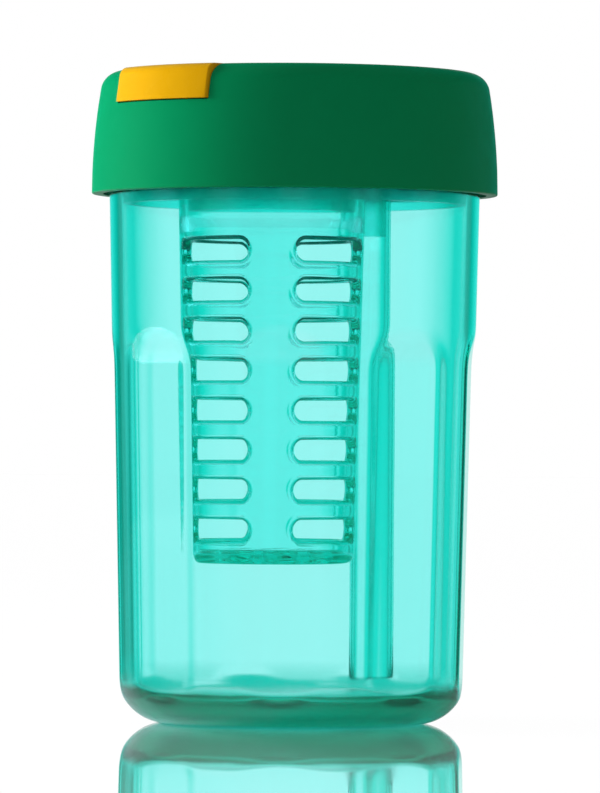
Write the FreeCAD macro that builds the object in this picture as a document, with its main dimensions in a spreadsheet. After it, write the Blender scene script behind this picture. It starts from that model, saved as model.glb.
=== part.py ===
import FreeCAD, Part
import math
import os
import re
import Sketcher

Vector = FreeCAD.Vector

# Driving dimensions in millimetres, angles in degrees, counts and turns as plain numbers
SIZES = {
    # Bottle: a tapered tumbler with a rounded foot and a screw neck
    "foot_draft": 2.9,
    "shoulder_step": 1.2,
    "shoulder_height": 131,
    "body_wall": 3,
    "floor_height": 7.5,
    "foot_round": 12,
    "floor_round": 3.5,
    "foot_land": 3.1,
    "foot_recess_depth": 1.2,
    "foot_recess_slope": 3,
    "neck_length": 10,
    "mouth_round": 0.6,
    # Flat arched panels cut into the side of the bottle
    "panel_count": 8,
    "panel_phase": -5.5,
    "panel_depth": 1.35,
    "panel_top": 95.5,
    "panel_runout": 24,
    "panel_bite_share": 0.5,
    # Screw thread of the neck and the lid
    "thread_lead": 5,
    "thread_turns": 1.2,
    "thread_depth": 1.1,
    "thread_root_width": 2.4,
    "thread_crest_width": 1.2,
    "thread_start": 2.4,
    "thread_clearance": 0.3,
    "lid_thread_turns": 1,
    # Outer shell of the lid
    "lid_radius": 50,
    "lid_height": 30,
    "lid_overlap": 1,
    "lid_side_radius": 160,
    "lid_top_round": 4.9,
    "lid_edge_round": 0.4,
    "shell_wall": 2.8,
    "shell_upper_wall": 6,
    "top_plate": 3,
    "breather_radius": 1,
    # Channel of the flip cover, with the well of the spout in its floor
    "channel_width": 31,
    "channel_depth": 3.5,
    "tray_wall": 2.5,
    "tray_floor": 4,
    "well_width": 14,
    "well_wall": 2.5,
    "well_end_room": 1.2,
    # Flip cover, its front lip and its hinge
    "cover_gap": 0.3,
    "cover_top_round": 2.5,
    "lip_height": 8.5,
    "lip_depth": 3.8,
    "lip_proud": 0.8,
    "hinge_step": 7.2,
    "hinge_drop": 2.6,
    "hinge_room": 4,
    "knuckle_radius": 2.5,
    "pin_radius": 1.25,
    "pin_bite": 2.2,
    "running_clearance": 0.05,
    # Liner of the lid: deck, threaded ring, plug skirt, basket collar and straw spigot
    "gasket_thickness": 2,
    "deck_thickness": 2,
    "seat_gap": 0.05,
    "ring_lift": 0.4,
    "ring_wall": 1.25,
    "skirt_clearance": 0.5,
    "skirt_wall": 1.8,
    "skirt_depth": 15.5,
    "collar_radius": 20.4,
    "collar_wall": 2,
    "collar_depth": 17.4,
    "spigot_depth": 22.4,
    "passage_radius": 2.9,
    # Infuser basket with rows of round-ended slots
    "basket_offset": 8,
    "basket_rim_gap": 3,
    "basket_rim_radius": 23.1,
    "basket_foot_radius": 20.8,
    "basket_height": 100.5,
    "basket_wall": 1.9,
    "basket_floor": 3.5,
    "basket_foot_round": 2.8,
    "basket_floor_round": 1.5,
    "slot_rows": 8,
    "slot_columns": 4,
    "slot_height": 6,
    "slot_pitch": 9.7,
    "slot_first": 8.3,
    "slot_half_angle": 30.7,
    "drain_count": 6,
    "drain_radius": 1.5,
    "drain_circle": 9,
    "basket_seal_radius": 0.9,
    "basket_seal_lift": 8.4,
    # Straw
    "straw_gap_share": 0.51,
    "straw_radius": 5,
    "straw_bore": 3.8,
    "straw_end_gap": 3,
    # Folding spout with its soft mouthpiece and face seal
    "nozzle_lift": 6.5,
    "barrel_radius": 5,
    "trunnion_radius": 2.5,
    "trunnion_bite": 2.2,
    "nozzle_length": 40,
    "nozzle_radius": 4.75,
    "mouthpiece_length": 20,
    "mouthpiece_wall": 1.2,
    "mouthpiece_round": 1,
    "nozzle_seal_radius": 4.5,
    "nozzle_seal_clearance": 0.1,
    # Air valve in the deck
    "vent_across": 26,
    "vent_back": 14,
    "vent_stem_radius": 1.4,
    "vent_head_radius": 3.5,
    "vent_head_thickness": 0.9,
    "vent_bulb_radius": 2,
    "vent_bulb_height": 1.8,
    # Length by which every cut runs past the faces that it opens
    "overrun": 2,
    # Distance within which an edge counts as lying at a place
    "tolerance": 0.001,
}

# Heights and places that several pieces share
SHELL_BORE = "(lid_radius - shell_wall)"
RING_BORE = f"({SHELL_BORE} - seat_gap - ring_wall)"
NECK_RADIUS = f"({RING_BORE} - thread_clearance - thread_depth)"
SHOULDER_RADIUS = f"({NECK_RADIUS} + shoulder_step)"
FOOT_RADIUS = f"({SHOULDER_RADIUS} - foot_draft)"
RECESS_EDGE = f"({FOOT_RADIUS} - foot_round - foot_land)"
FLAT_END = "(panel_top - sqrt(panel_depth * (2 * panel_runout - panel_depth)))"
MOUTH_BORE = f"({SHOULDER_RADIUS} - body_wall)"
SKIRT_RADIUS = f"({MOUTH_BORE} - skirt_clearance)"
SKIRT_BORE = f"({SKIRT_RADIUS} - skirt_wall)"
BASKET_SIDE = "(basket_rim_radius - basket_offset)"
STRAW_BACK = f"({BASKET_SIDE} + ({SKIRT_BORE} - {BASKET_SIDE}) * straw_gap_share)"
HINGE_BACK = f"({STRAW_BACK} + hinge_step)"
MOUTH = "(shoulder_height + neck_length)"
DECK_UNDER = f"({MOUTH} + gasket_thickness)"
DECK_TOP = f"({DECK_UNDER} + deck_thickness)"
LID_BASE = "(shoulder_height - lid_overlap)"
LID_TOP = f"({LID_BASE} + lid_height)"
CHANNEL_FLOOR = f"({LID_TOP} - channel_depth)"
TRAY_UNDER = f"({CHANNEL_FLOOR} - tray_floor)"
LIP_UNDER = f"({LID_TOP} - lip_height)"
HINGE_HEIGHT = f"({LID_TOP} - hinge_drop)"
COVER_WIDTH = "(channel_width - 2 * cover_gap)"
PIN_LENGTH = "(channel_width + 2 * pin_bite)"
NOZZLE_HEIGHT = f"({DECK_TOP} + nozzle_lift)"
BARREL_WIDTH = "(well_width - 2 * cover_gap)"
TRUNNION_WIDTH = "(well_width + 2 * trunnion_bite)"
BASKET_RIM = f"({DECK_UNDER} - basket_rim_gap)"
BASKET_FOOT = f"({BASKET_RIM} - basket_height)"
BASKET_FLARE = "((basket_rim_radius - basket_foot_radius) / basket_height)"
BASKET_SEAL_HEIGHT = f"({DECK_UNDER} - collar_depth + basket_seal_lift)"

doc = FreeCAD.newDocument("infuser_bottle")
sheet = doc.addObject("Spreadsheet::Sheet", "Dim")
for row, (name, number) in enumerate(SIZES.items(), 1):
    sheet.set(f"A{row}", name)
    sheet.set(f"B{row}", str(number))
    sheet.setAlias(f"B{row}", name)
doc.recompute()


def bound(formula):
    """A formula of size names, as an expression that reads the sheet."""
    return re.sub(r"[a-z_]+", lambda word: f"Dim.{word[0]}" if word[0] in SIZES else word[0], formula)


def value(formula):
    """The number that a formula of size names gives now."""
    return float(sheet.evalExpression(bound(formula)))


def bind(feature, **formulas):
    """Tie properties of a feature to formulas; a double underscore stands for a dot."""
    for path, formula in formulas.items():
        feature.setExpression(path.replace("__", "."), bound(formula))


def seat(feature, across="0", back="0", up="0"):
    """Place a feature at a point given by three formulas."""
    bind(feature, Placement__Base__x=across, Placement__Base__y=back, Placement__Base__z=up)


# Plain solids and booleans
TURNS = {
    "up": FreeCAD.Rotation(),
    "across": FreeCAD.Rotation(Vector(0, 1, 0), 90),
    "forward": FreeCAD.Rotation(Vector(1, 0, 0), 90),
}


def block(name, low, span):
    """A box from its lowest corner and its three spans."""
    solid = doc.addObject("Part::Box", name)
    bind(solid, Length=span[0], Width=span[1], Height=span[2])
    seat(solid, *low)
    return solid


def rod(name, way, radius, length, start):
    """A cylinder that points up, across or forward from its start."""
    solid = doc.addObject("Part::Cylinder", name)
    solid.Placement = FreeCAD.Placement(Vector(), TURNS[way])
    bind(solid, Radius=radius, Height=length)
    seat(solid, *start)
    return solid


def fuse(name, *solids):
    joined = doc.addObject("Part::MultiFuse", name)
    joined.Shapes = list(solids)
    joined.Refine = True
    return joined


def cut(name, base, *tools):
    trimmed = doc.addObject("Part::Cut", name)
    trimmed.Base = base
    trimmed.Tool = tools[0] if len(tools) == 1 else fuse(f"{name}_tools", *tools)
    trimmed.Refine = True
    return trimmed


def common(name, *solids):
    shared = doc.addObject("Part::MultiCommon", name)
    shared.Shapes = list(solids)
    shared.Refine = True
    return shared


# Bodies with sketches and features. In a sketch -1 and -2 are the axes, and point 1 of -1 is the origin.
# An edge's point 1 is its start, 2 its end and 3 its centre.
def origin_feature(body, role):
    return next(item for item in body.Origin.OriginFeatures if item.Role == role)


def new_body(name):
    return doc.addObject("PartDesign::Body", name)


def upright_sketch(body, name):
    """An empty sketch on the body's upright front plane."""
    sketch = body.newObject("Sketcher::SketchObject", name)
    sketch.AttachmentSupport = (origin_feature(body, "XZ_Plane"), [""])
    sketch.MapMode = "FlatFace"
    return sketch


def pin_point(sketch, edge, end, across, up):
    """Hold one end of a sketch edge at two formulas, or on an axis where a formula is zero."""
    for kind, formula, axis in (("DistanceX", across, -2), ("DistanceY", up, -1)):
        if formula == "0":
            sketch.addConstraint(Sketcher.Constraint("PointOnObject", edge, end, axis))
        else:
            rule = Sketcher.Constraint(kind, -1, 1, edge, end, value(formula))
            number = sketch.addConstraint(rule)
            sketch.setExpression(f"Constraints[{number}]", bound(formula))


def arc_between(start, end, radius):
    """An arc that turns left for a positive radius and right for a negative one."""
    half = (end - start) / 2
    left = Vector(-half.y, half.x, 0).normalize()
    reach = math.sqrt(max(radius**2 - half.Length**2, 0))
    centre = start + half + left * math.copysign(reach, radius)
    first, last = (start, end) if radius > 0 else (end, start)
    angles = [math.atan2(spot.y - centre.y, spot.x - centre.x) for spot in (first, last)]
    return Part.ArcOfCircle(Part.Circle(centre, Vector(0, 0, 1), abs(radius)), *angles)


def draw_outline(sketch, corners):
    """A closed outline through corners of two formulas; a third is the radius of the arc to that corner."""
    spots = [Vector(value(corner[0]), value(corner[1]), 0) for corner in corners]
    joins = []
    for number, corner in enumerate(corners):
        start, end = spots[number - 1], spots[number]
        if len(corner) == 2:
            edge = sketch.addGeometry(Part.LineSegment(start, end))
            joins.append((edge, 1, 2))
        else:
            radius = value(corner[2])
            edge = sketch.addGeometry(arc_between(start, end, radius))
            joins.append((edge, 1, 2) if radius > 0 else (edge, 2, 1))
    for number, corner in enumerate(corners):
        edge, _, end = joins[number]
        following, start, _ = joins[(number + 1) % len(joins)]
        sketch.addConstraint(Sketcher.Constraint("Coincident", edge, end, following, start))
        pin_point(sketch, edge, end, corner[0], corner[1])
        if len(corner) == 3:
            set_arc(sketch, edge, corner, spots[number - 1] - spots[number])


def set_arc(sketch, edge, corner, chord):
    """Fix an arc by its radius, or by its centre where it is an upright half circle."""
    radius = abs(value(corner[2]))
    if abs(2 * radius - chord.Length) < SIZES["tolerance"]:
        rule = Sketcher.Constraint("DistanceX", -1, 1, edge, 3, value(corner[0]))
        formula = corner[0]
    else:
        rule = Sketcher.Constraint("Radius", edge, radius)
        formula = f"abs({corner[2]})"
    number = sketch.addConstraint(rule)
    sketch.setExpression(f"Constraints[{number}]", bound(formula))


def revolve(body, name, corners):
    """A solid of revolution about the body's upright axis."""
    sketch = upright_sketch(body, f"{name}_outline")
    draw_outline(sketch, corners)
    turned = body.newObject("PartDesign::Revolution", name)
    turned.Profile = sketch
    turned.ReferenceAxis = (sketch, ["V_Axis"])
    doc.recompute()
    return turned


def ring_edges(feature, *rings):
    """Names of the circular edges that lie at the given pairs of radius and height."""
    wanted = [(value(radius), value(height)) for radius, height in rings]
    names = []
    for number, edge in enumerate(feature.Shape.Edges, 1):
        if not isinstance(edge.Curve, Part.Circle):
            continue
        radius, height = edge.Curve.Radius, edge.Curve.Center.z
        near = [max(abs(radius - ring[0]), abs(height - ring[1])) < SIZES["tolerance"] for ring in wanted]
        if any(near):
            names.append(f"Edge{number}")
    return names


def round_rings(body, name, radius, *rings):
    """Fillet the circular edges at the given pairs of radius and height."""
    base = body.Tip
    rounded = body.newObject("PartDesign::Fillet", name)
    rounded.Base = (base, ring_edges(base, *rings))
    bind(rounded, Radius=radius)
    doc.recompute()
    return rounded


def pattern(body, name, feature, count):
    """Repeat a feature evenly round the body's upright axis."""
    ring = body.newObject("PartDesign::PolarPattern", name)
    ring.Originals = [feature]
    ring.Axis = (origin_feature(body, "Z_Axis"), [""])
    ring.Angle = 360
    bind(ring, Occurrences=count)
    body.Tip = ring
    doc.recompute()
    return ring


def bore(body, name, radius, length, across="0", back="0", up="0"):
    """A round upright hole through the body."""
    hole = body.newObject("PartDesign::SubtractiveCylinder", name)
    bind(hole, Radius=radius, Height=length)
    seat(hole, across, back, up)
    doc.recompute()
    return hole


def boss(body, name, radius, length, back, up):
    """A round upright boss on the body."""
    stud = body.newObject("PartDesign::AdditiveCylinder", name)
    bind(stud, Radius=radius, Height=length)
    seat(stud, "0", back, up)
    doc.recompute()
    return stud


def thread(body, name, corners, turns):
    """A ridge with the given section that climbs round the body's axis."""
    sketch = upright_sketch(body, f"{name}_section")
    draw_outline(sketch, corners)
    ridge = body.newObject("PartDesign::AdditiveHelix", name)
    ridge.Profile = sketch
    ridge.ReferenceAxis = (sketch, ["V_Axis"])
    ridge.Mode = "pitch-turns-angle"
    bind(ridge, Pitch="thread_lead", Turns=turns)
    doc.recompute()
    return ridge


def side_radius(height):
    """Formula of the bottle's outer radius at a height below the shoulder."""
    return f"({FOOT_RADIUS} + foot_draft * {height} / shoulder_height)"


def bottle_body():
    """Tapered tumbler with arched panels, a recessed foot and a screw neck."""
    body = new_body("bottle_body")
    revolve(body, "bottle_blank", [
        ("0", "foot_recess_depth"),
        (f"{RECESS_EDGE} - foot_recess_slope", "foot_recess_depth"),
        (RECESS_EDGE, "0"),
        (FOOT_RADIUS, "0"),
        (SHOULDER_RADIUS, "shoulder_height"),
        (NECK_RADIUS, "shoulder_height"),
        (NECK_RADIUS, MOUTH),
        (MOUTH_BORE, MOUTH),
        (MOUTH_BORE, "shoulder_height"),
        (f"{side_radius('floor_height')} - body_wall", "floor_height"),
        ("0", "floor_height"),
    ])
    round_rings(body, "foot_rounding", "foot_round", (FOOT_RADIUS, "0"))
    round_rings(body, "floor_rounding", "floor_round",
                (f"{side_radius('floor_height')} - body_wall", "floor_height"))
    round_rings(body, "mouth_rounding", "mouth_round", (NECK_RADIUS, MOUTH), (MOUTH_BORE, MOUTH))
    cut_panels(body)
    back_panels(body)
    low = "(shoulder_height + thread_start)"
    thread(body, "neck_thread", [
        (f"{NECK_RADIUS} - thread_clearance", f"{low} - thread_root_width / 2"),
        (f"{NECK_RADIUS} + thread_depth", f"{low} - thread_crest_width / 2"),
        (f"{NECK_RADIUS} + thread_depth", f"{low} + thread_crest_width / 2"),
        (f"{NECK_RADIUS} - thread_clearance", f"{low} + thread_root_width / 2"),
    ], "thread_turns")
    return body


def run_out(depth):
    """Formula of the height at which a panel's curved upper end has come out by a depth."""
    return f"({FLAT_END} + sqrt({depth} * (2 * panel_runout - {depth})))"


def panel_ring(body, kind, name, corners, width):
    """A cut or a filling of one section, in the middle of each panel."""
    sketch = upright_sketch(body, f"{name}_section")
    sketch.AttachmentOffset = FreeCAD.Placement(Vector(), FreeCAD.Rotation(Vector(0, 1, 0), 1))
    bind(sketch, AttachmentOffset__Rotation__Angle="panel_phase")
    draw_outline(sketch, corners)
    panel = body.newObject(kind, name)
    panel.Profile = sketch
    panel.SideType = "Symmetric"
    bind(panel, Length=width)
    doc.recompute()
    pattern(body, f"{name}s", panel, "panel_count")


def cut_panels(body):
    """Flat panels whose upper ends run out on a curve, which makes each top an arch."""
    past_end = run_out("(2 * panel_depth)")
    panel_ring(body, "PartDesign::Pocket", "panel", [
        (f"{FOOT_RADIUS} - panel_depth", "0"),
        (f"{side_radius(FLAT_END)} - panel_depth", FLAT_END),
        (f"{side_radius(past_end)} + panel_depth", past_end, "-panel_runout"),
        (f"{SHOULDER_RADIUS} + panel_depth + overrun", past_end),
        (f"{SHOULDER_RADIUS} + panel_depth + overrun", "0"),
    ], FOOT_RADIUS)


def back_panels(body):
    """Flats inside the wall, behind the panels, which keep its thickness even."""
    bite = "(panel_bite_share * panel_depth)"
    back_end = run_out(f"(panel_depth + {bite})")
    panel_ring(body, "PartDesign::Pad", "panel_back", [
        (f"{side_radius('floor_height')} - body_wall - panel_depth", "floor_height"),
        (f"{side_radius(FLAT_END)} - body_wall - panel_depth", FLAT_END),
        (f"{side_radius(back_end)} - body_wall + {bite}", back_end, "-panel_runout"),
        (f"{side_radius('floor_height')} - body_wall + {bite}", "floor_height"),
    ], f"2 * sqrt(2 * panel_depth * {SHOULDER_RADIUS})")


def lid_blank(name, proud, top_round):
    """The lid's outer form: a gently curved side and a rounded top edge, grown by a formula."""
    body = new_body(name)
    top_radius = f"(lid_radius + {proud} - lid_side_radius + sqrt(lid_side_radius ^ 2 - lid_height ^ 2))"
    revolve(body, f"{name}_turning", [
        ("0", LID_BASE),
        (f"lid_radius + {proud}", LID_BASE),
        (top_radius, LID_TOP, "lid_side_radius"),
        ("0", LID_TOP),
    ])
    round_rings(body, f"{name}_top", top_round, (top_radius, LID_TOP))
    round_rings(body, f"{name}_edge", "lid_edge_round", (f"lid_radius + {proud}", LID_BASE))
    return body


def lid_shell():
    """Outer cap with the cover's channel, the spout's well and a notch for the cover's lip."""
    blank = lid_blank("lid_form", "0", "lid_top_round")
    lower_room = rod("shell_lower_room", "up", SHELL_BORE, f"{DECK_TOP} - {LID_BASE} + overrun",
                     ("0", "0", f"{LID_BASE} - overrun"))
    upper_height = f"({LID_TOP} - top_plate - {DECK_TOP})"
    upper_space = rod("shell_upper_space", "up", "lid_radius - shell_upper_wall",
                      f"{upper_height} + overrun", ("0", "0", f"{DECK_TOP} - overrun"))
    tray_half = "(channel_width / 2 + tray_wall)"
    tray = block("cover_tray", (f"-{tray_half}", "-lid_radius", TRAY_UNDER),
                 (f"2 * {tray_half}", f"lid_radius + {HINGE_BACK} + hinge_room + tray_wall",
                  f"{LID_TOP} - {TRAY_UNDER}"))
    well_front = f"({STRAW_BACK} - nozzle_length - well_end_room)"
    well_back = f"({STRAW_BACK} + barrel_radius + well_end_room)"
    well_walls = block("well_walls", ("-well_width / 2 - well_wall", f"{well_front} - well_wall", DECK_TOP),
                       ("well_width + 2 * well_wall", f"{well_back} - {well_front} + 2 * well_wall",
                        f"{CHANNEL_FLOOR} - {DECK_TOP}"))
    upper_room = cut("shell_upper_room", upper_space, tray, well_walls)
    channel = block("channel", ("-channel_width / 2", "-lid_radius - overrun", CHANNEL_FLOOR),
                    ("channel_width", f"lid_radius + overrun + {HINGE_BACK} + hinge_room",
                     "channel_depth + overrun"))
    well = block("well", ("-well_width / 2", well_front, f"{DECK_TOP} - overrun"),
                 ("well_width", f"{well_back} - {well_front}",
                  f"{CHANNEL_FLOOR} - {DECK_TOP} + 2 * overrun"))
    knuckle_room = rod("knuckle_room", "across", "knuckle_radius + cover_gap", "channel_width",
                       ("-channel_width / 2", HINGE_BACK, HINGE_HEIGHT))
    pin_hole = rod("pin_hole", "across", "pin_radius", PIN_LENGTH,
                   (f"-{PIN_LENGTH} / 2", HINGE_BACK, HINGE_HEIGHT))
    trunnion_hole = rod("trunnion_hole", "across", "trunnion_radius + running_clearance",
                        f"{TRUNNION_WIDTH} + 2 * running_clearance",
                        (f"-{TRUNNION_WIDTH} / 2 - running_clearance", STRAW_BACK, NOZZLE_HEIGHT))
    breather = rod("breather", "up", "breather_radius", "tray_floor + 2 * overrun",
                   ("(channel_width + well_width) / 4", "vent_back", f"{TRAY_UNDER} - overrun"))
    return cut("lid_shell", blank, lower_room, upper_room, channel, well, knuckle_room, pin_hole,
               trunnion_hole, breather, lip_notch())


def lip_notch():
    """Space behind the cover's lip, open to the outside and to the channel."""
    space = block("lip_space", ("-channel_width / 2", "-lid_radius - overrun", f"{LIP_UNDER} - cover_gap"),
                  ("channel_width", "lid_radius", "lip_height + cover_gap + overrun"))
    core = rod("lip_core", "up", "lid_radius - lip_depth - cover_gap", "lid_height + overrun",
               ("0", "0", LID_BASE))
    return cut("lip_notch", space, core)


def flip_cover():
    """Cover that lies in the channel, with a knuckle behind and a finger lip that stands a little proud."""
    form = lid_blank("cover_form", "lip_proud", "cover_top_round")
    plate_under = f"({CHANNEL_FLOOR} + cover_gap)"
    plate_block = block("plate_block", (f"-{COVER_WIDTH} / 2", "-lid_radius - overrun", plate_under),
                        (COVER_WIDTH, f"lid_radius + overrun + {HINGE_BACK}", f"{LID_TOP} - {plate_under}"))
    lip_block = block("lip_block", (f"-{COVER_WIDTH} / 2", "-lid_radius - overrun", LIP_UNDER),
                      (COVER_WIDTH, "lid_radius", "lip_height"))
    lip_inside = rod("lip_inside", "up", "lid_radius - lip_depth", "lid_height + overrun",
                     ("0", "0", LID_BASE))
    lip = cut("cover_lip", lip_block, lip_inside)
    front = common("cover_front", fuse("cover_blocks", plate_block, lip), form)
    knuckle = rod("cover_knuckle", "across", "knuckle_radius", COVER_WIDTH,
                  (f"-{COVER_WIDTH} / 2", HINGE_BACK, HINGE_HEIGHT))
    eye = rod("cover_eye", "across", "pin_radius + running_clearance", f"{COVER_WIDTH} + 2 * overrun",
              (f"-{COVER_WIDTH} / 2 - overrun", HINGE_BACK, HINGE_HEIGHT))
    return cut("flip_cover", fuse("cover_solid", front, knuckle), eye)


def cover_hinge_pin():
    """Steel pin held in the channel's two side walls."""
    return rod("cover_hinge_pin", "across", "pin_radius", PIN_LENGTH,
               (f"-{PIN_LENGTH} / 2", HINGE_BACK, HINGE_HEIGHT))


def lid_insert():
    """Liner of the lid: a deck with a threaded ring, a plug skirt, a basket collar and a straw spigot."""
    body = new_body("lid_insert")
    skirt_end = f"({DECK_UNDER} - skirt_depth)"
    ring_end = "(shoulder_height + ring_lift)"
    ring_outside = f"({SHELL_BORE} - seat_gap)"
    revolve(body, "liner_blank", [
        ("0", DECK_UNDER),
        (SKIRT_BORE, DECK_UNDER),
        (SKIRT_BORE, skirt_end),
        (SKIRT_RADIUS, skirt_end),
        (SKIRT_RADIUS, DECK_UNDER),
        (RING_BORE, DECK_UNDER),
        (RING_BORE, ring_end),
        (ring_outside, ring_end),
        (ring_outside, DECK_TOP),
        ("0", DECK_TOP),
    ])
    low = "(shoulder_height + thread_start)"
    thread(body, "lid_thread", [
        (f"-({RING_BORE} + thread_clearance)", f"{low} - thread_root_width / 2"),
        (f"-({RING_BORE} - thread_depth)", f"{low} - thread_crest_width / 2"),
        (f"-({RING_BORE} - thread_depth)", f"{low} + thread_crest_width / 2"),
        (f"-({RING_BORE} + thread_clearance)", f"{low} + thread_root_width / 2"),
    ], "lid_thread_turns")
    half_deck = "deck_thickness / 2"
    collar_end = f"({DECK_UNDER} - collar_depth)"
    boss(body, "basket_collar", "collar_radius", f"collar_depth + {half_deck}", "-basket_offset", collar_end)
    bore(body, "collar_bore", "collar_radius - collar_wall", "collar_depth + overrun",
         back="-basket_offset", up=f"{collar_end} - overrun")
    groove = body.newObject("PartDesign::SubtractiveTorus", "seal_groove")
    bind(groove, Radius1=basket_seal_circle(), Radius2="basket_seal_radius + seat_gap")
    seat(groove, back="-basket_offset", up=BASKET_SEAL_HEIGHT)
    doc.recompute()
    spigot_end = f"({DECK_UNDER} - spigot_depth)"
    boss(body, "straw_spigot", "straw_bore - seat_gap", f"spigot_depth + {half_deck}",
         STRAW_BACK, spigot_end)
    bore(body, "straw_passage", "passage_radius", "spigot_depth + deck_thickness + 2 * overrun",
         back=STRAW_BACK, up=f"{spigot_end} - overrun")
    bore(body, "vent_hole", "vent_stem_radius + seat_gap", "deck_thickness + 2 * overrun",
         across="vent_across", back="vent_back", up=f"{DECK_UNDER} - overrun")
    return body


def basket_seal_circle():
    """Formula of the circle on which the O-ring lies, just inside the basket's wall."""
    below_rim = f"({BASKET_RIM} - {BASKET_SEAL_HEIGHT})"
    wall_inside = f"(basket_rim_radius - basket_wall - {below_rim} * {BASKET_FLARE})"
    return f"({wall_inside} - running_clearance - basket_seal_radius)"


def lid_gasket():
    """Flat ring between the mouth of the bottle and the deck of the lid."""
    body = new_body("lid_gasket")
    inside = f"({SKIRT_RADIUS} + seat_gap)"
    outside = f"({NECK_RADIUS} + thread_depth)"
    revolve(body, "gasket_ring", [
        (inside, f"{MOUTH} + seat_gap"),
        (outside, f"{MOUTH} + seat_gap"),
        (outside, f"{DECK_UNDER} - seat_gap"),
        (inside, f"{DECK_UNDER} - seat_gap"),
    ])
    return body


def infuser_basket():
    """Tapered basket with columns of round-ended slots and drain holes in its floor."""
    body = new_body("infuser_basket")
    floor_top = f"({BASKET_FOOT} + basket_floor)"
    floor_radius = f"(basket_foot_radius - basket_wall + basket_floor * {BASKET_FLARE})"
    revolve(body, "basket_blank", [
        ("0", BASKET_FOOT),
        ("basket_foot_radius", BASKET_FOOT),
        ("basket_rim_radius", BASKET_RIM),
        ("basket_rim_radius - basket_wall", BASKET_RIM),
        (floor_radius, floor_top),
        ("0", floor_top),
    ])
    round_rings(body, "basket_foot_rounding", "basket_foot_round", ("basket_foot_radius", BASKET_FOOT))
    round_rings(body, "basket_floor_rounding", "basket_floor_round", (floor_radius, floor_top))
    sketch = upright_sketch(body, "slot_column")
    for number in range(SIZES["slot_rows"]):
        draw_slot(sketch, f"(slot_first + slot_pitch * {number})")
    slots = body.newObject("PartDesign::Pocket", "slots")
    slots.Profile = sketch
    slots.Reversed = True
    bind(slots, Length="basket_rim_radius + overrun")
    doc.recompute()
    pattern(body, "slot_columns", slots, "slot_columns")
    drain = bore(body, "drain", "drain_radius", "basket_floor + 2 * overrun",
                 across="drain_circle", up=f"{BASKET_FOOT} - overrun")
    pattern(body, "drains", drain, "drain_count")
    bore(body, "middle_drain", "drain_radius", "basket_floor + 2 * overrun", up=f"{BASKET_FOOT} - overrun")
    seat(body, back="-basket_offset")
    return body


def draw_slot(sketch, lift):
    """One round-ended slot at a height above the basket's foot, as wide as its angle at that height."""
    height = f"({BASKET_FOOT} + {lift})"
    reach = f"((basket_foot_radius + {lift} * {BASKET_FLARE}) * sin(slot_half_angle) - slot_height / 2)"
    draw_outline(sketch, [
        (f"-{reach}", f"{height} - slot_height / 2", "slot_height / 2"),
        (reach, f"{height} - slot_height / 2"),
        (reach, f"{height} + slot_height / 2", "slot_height / 2"),
        (f"-{reach}", f"{height} + slot_height / 2"),
    ])


def basket_seal():
    """O-ring that grips the basket on its collar."""
    ring = doc.addObject("Part::Torus", "basket_seal")
    bind(ring, Radius1=basket_seal_circle(), Radius2="basket_seal_radius")
    seat(ring, back="-basket_offset", up=BASKET_SEAL_HEIGHT)
    return ring


def straw():
    """Drinking tube pushed over the spigot, ending just above the floor."""
    outside = rod("straw_outside", "up", "straw_radius", f"{DECK_UNDER} - floor_height - straw_end_gap",
                  ("0", STRAW_BACK, "floor_height + straw_end_gap"))
    inside = rod("straw_inside", "up", "straw_bore", f"{DECK_UNDER} - floor_height + overrun",
                 ("0", STRAW_BACK, "floor_height"))
    return cut("straw", outside, inside)


def drink_nozzle():
    """Folding spout: a barrel on two trunnions with a tube that lies forward."""
    barrel = rod("nozzle_barrel", "across", "barrel_radius", BARREL_WIDTH,
                 (f"-{BARREL_WIDTH} / 2", STRAW_BACK, NOZZLE_HEIGHT))
    trunnions = rod("nozzle_trunnions", "across", "trunnion_radius", TRUNNION_WIDTH,
                    (f"-{TRUNNION_WIDTH} / 2", STRAW_BACK, NOZZLE_HEIGHT))
    tube = rod("nozzle_tube", "forward", "nozzle_radius", "nozzle_length - mouthpiece_length",
               ("0", STRAW_BACK, NOZZLE_HEIGHT))
    stem = rod("nozzle_stem", "forward", "nozzle_radius - mouthpiece_wall",
               "nozzle_length - mouthpiece_round", ("0", STRAW_BACK, NOZZLE_HEIGHT))
    solid = fuse("nozzle_solid", barrel, trunnions, tube, stem)
    passage = rod("nozzle_passage", "forward", "passage_radius",
                  "nozzle_length + barrel_radius + 2 * overrun",
                  ("0", f"{STRAW_BACK} + barrel_radius + overrun", NOZZLE_HEIGHT))
    return cut("drink_nozzle", solid, passage)


def nozzle_mouthpiece():
    """Soft sleeve with a rounded tip, pushed over the stem of the spout."""
    body = new_body("nozzle_mouthpiece")
    start = "(nozzle_length - mouthpiece_length)"
    inside = "(nozzle_radius - mouthpiece_wall + seat_gap)"
    revolve(body, "sleeve", [
        (inside, start),
        ("nozzle_radius", start),
        ("nozzle_radius", "nozzle_length"),
        (inside, "nozzle_length"),
    ])
    round_rings(body, "sleeve_tip", "mouthpiece_round", ("nozzle_radius", "nozzle_length"))
    body.Placement = FreeCAD.Placement(Vector(), TURNS["forward"])
    seat(body, back=STRAW_BACK, up=NOZZLE_HEIGHT)
    return body


def nozzle_seal():
    """Flat ring on the deck, under the round of the barrel."""
    height = "(nozzle_lift - barrel_radius - nozzle_seal_clearance)"
    ring = rod("seal_ring", "up", "nozzle_seal_radius", height, ("0", STRAW_BACK, DECK_TOP))
    passage = rod("seal_passage", "up", "passage_radius", f"{height} + 2 * overrun",
                  ("0", STRAW_BACK, f"{DECK_TOP} - overrun"))
    return cut("nozzle_seal", ring, passage)


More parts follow.
